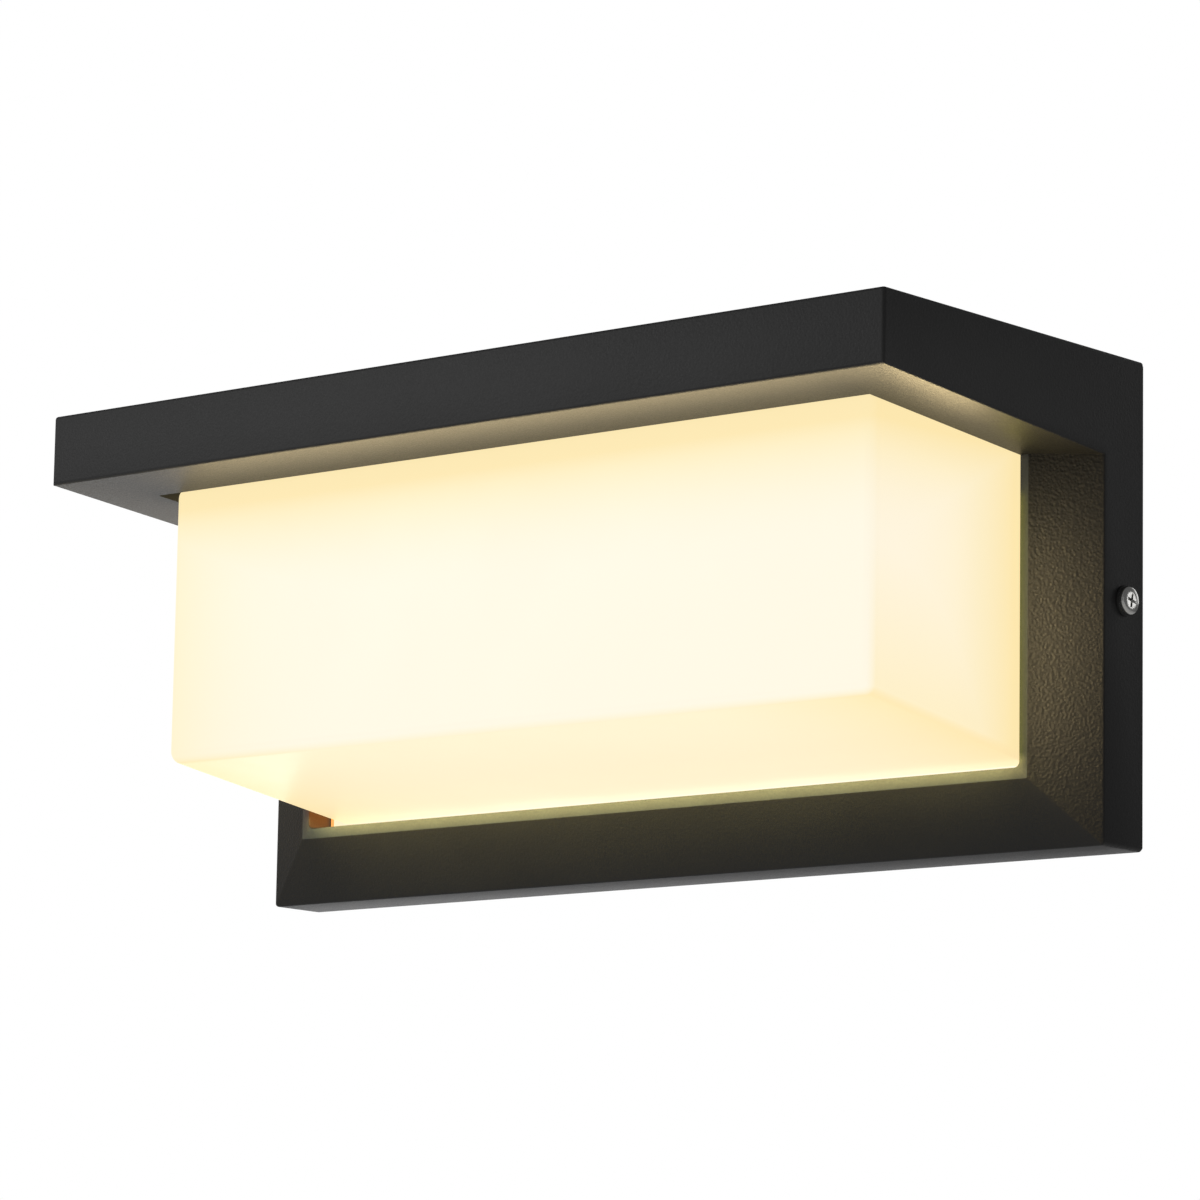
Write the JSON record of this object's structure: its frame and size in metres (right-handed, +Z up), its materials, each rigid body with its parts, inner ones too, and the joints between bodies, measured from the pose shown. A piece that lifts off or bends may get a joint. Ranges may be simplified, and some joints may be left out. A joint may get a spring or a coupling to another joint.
{
  "type": "outdoor wall lantern",
  "caption": "Rectangular outdoor wall light: die-cast housing with a deep canopy over a projecting opal diffuser box, on a wall bracket held by side screws.",
  "frame": {"origin": "centre of the bracket's two wall slots, on the wall plane, at the lantern's mid height", "axes": "+X along the wall to the right as seen from the front, +Y into the wall, +Z up; the lantern stands out towards -Y"},
  "size_m": [0.2842, 0.1096, 0.1244],
  "materials": {
    "zinc_steel": "zinc plated, satin",
    "stainless": "stainless, bright",
    "powder_coat": "die-cast, anthracite textured powder coat",
    "black_rubber": "EPDM and silicone, matte",
    "opal": "opal polycarbonate, satin, lit from inside",
    "clear_silicone": "translucent silicone",
    "white_tray": "white gloss enamel",
    "board_white": "white solder mask",
    "board_green": "green solder mask",
    "phosphor": "LED phosphor",
    "white_plastic": "moulded",
    "dark_parts": "moulded and wound parts",
    "green_terminals": "moulded",
    "brass": "plain",
    "cover_plastic": "black ABS, fine grain",
    "lead_brown": "PVC insulation",
    "lead_blue": "PVC insulation",
    "lead_earth": "green and yellow PVC insulation",
    "lead_red": "PVC insulation",
    "lead_black": "PVC insulation"
  },
  "bodies": {
    "bracket": {"wall_bracket": "zinc_steel"},
    "lamp": {"driver_screws": "zinc_steel", "terminal_screws": "zinc_steel", "terminal_fixing_screw": "zinc_steel", "cable_clamp_screws": "zinc_steel", "earth_washer": "zinc_steel", "side_nuts": "stainless", "tray_screws": "stainless", "led_board_screws": "stainless", "rear_cover_screws": "stainless", "housing": "powder_coat", "wall_seal": "black_rubber", "rear_cover_gasket": "black_rubber", "cable_grommet": "black_rubber", "tray_bush": "black_rubber", "diffuser": "opal", "diffuser_gasket": "clear_silicone", "led_tray": "white_tray", "led_board": "board_white", "driver_board": "board_green", "led_packages": "phosphor", "led_connector": "white_plastic", "driver_case": "white_plastic", "driver_lid": "white_plastic", "terminal_block": "white_plastic", "cable_clamp": "white_plastic", "driver_transformer": "dark_parts", "driver_capacitors": "dark_parts", "driver_terminals": "green_terminals", "terminal_sleeves": "brass", "earth_screw": "brass", "earth_lug": "brass", "rear_cover": "cover_plastic", "live_lead": "lead_brown", "neutral_lead": "lead_blue", "earth_lead": "lead_earth", "led_positive_lead": "lead_red", "led_negative_lead": "lead_black"},
    "washer_right": {"side_washer_right": "black_rubber"},
    "screw_right": {"side_screw_right": "stainless"},
    "washer_left": {"side_washer_left": "black_rubber"},
    "screw_left": {"side_screw_left": "stainless"}
  },
  "joints": [
    {"name": "lamp_pull_off", "type": "slide", "parent": "bracket", "child": "lamp", "axis": [0, -1, 0], "range_m": [0, 0.04]},
    {"name": "screw_right_back_out", "type": "slide", "parent": "lamp", "child": "washer_right", "axis": [1, 0, 0], "range_m": [0, 0.0014]},
    {"name": "screw_right_turn", "type": "hinge", "parent": "washer_right", "child": "screw_right", "pos_m": [0.1405, -0.0088, 0], "axis": [1, 0, 0], "range_deg": [0, 720]},
    {"name": "screw_left_back_out", "type": "slide", "parent": "lamp", "child": "washer_left", "axis": [-1, 0, 0], "range_m": [0, 0.0014]},
    {"name": "screw_left_turn", "type": "hinge", "parent": "washer_left", "child": "screw_left", "pos_m": [-0.1405, -0.0088, 0], "axis": [-1, 0, 0], "range_deg": [0, 720]}
  ],
  "couplings": [
    {"joint": "screw_right_turn", "follows": "screw_right_back_out", "rad_per_m": 8975.9},
    {"joint": "screw_left_turn", "follows": "screw_left_back_out", "rad_per_m": 8975.9}
  ]
}
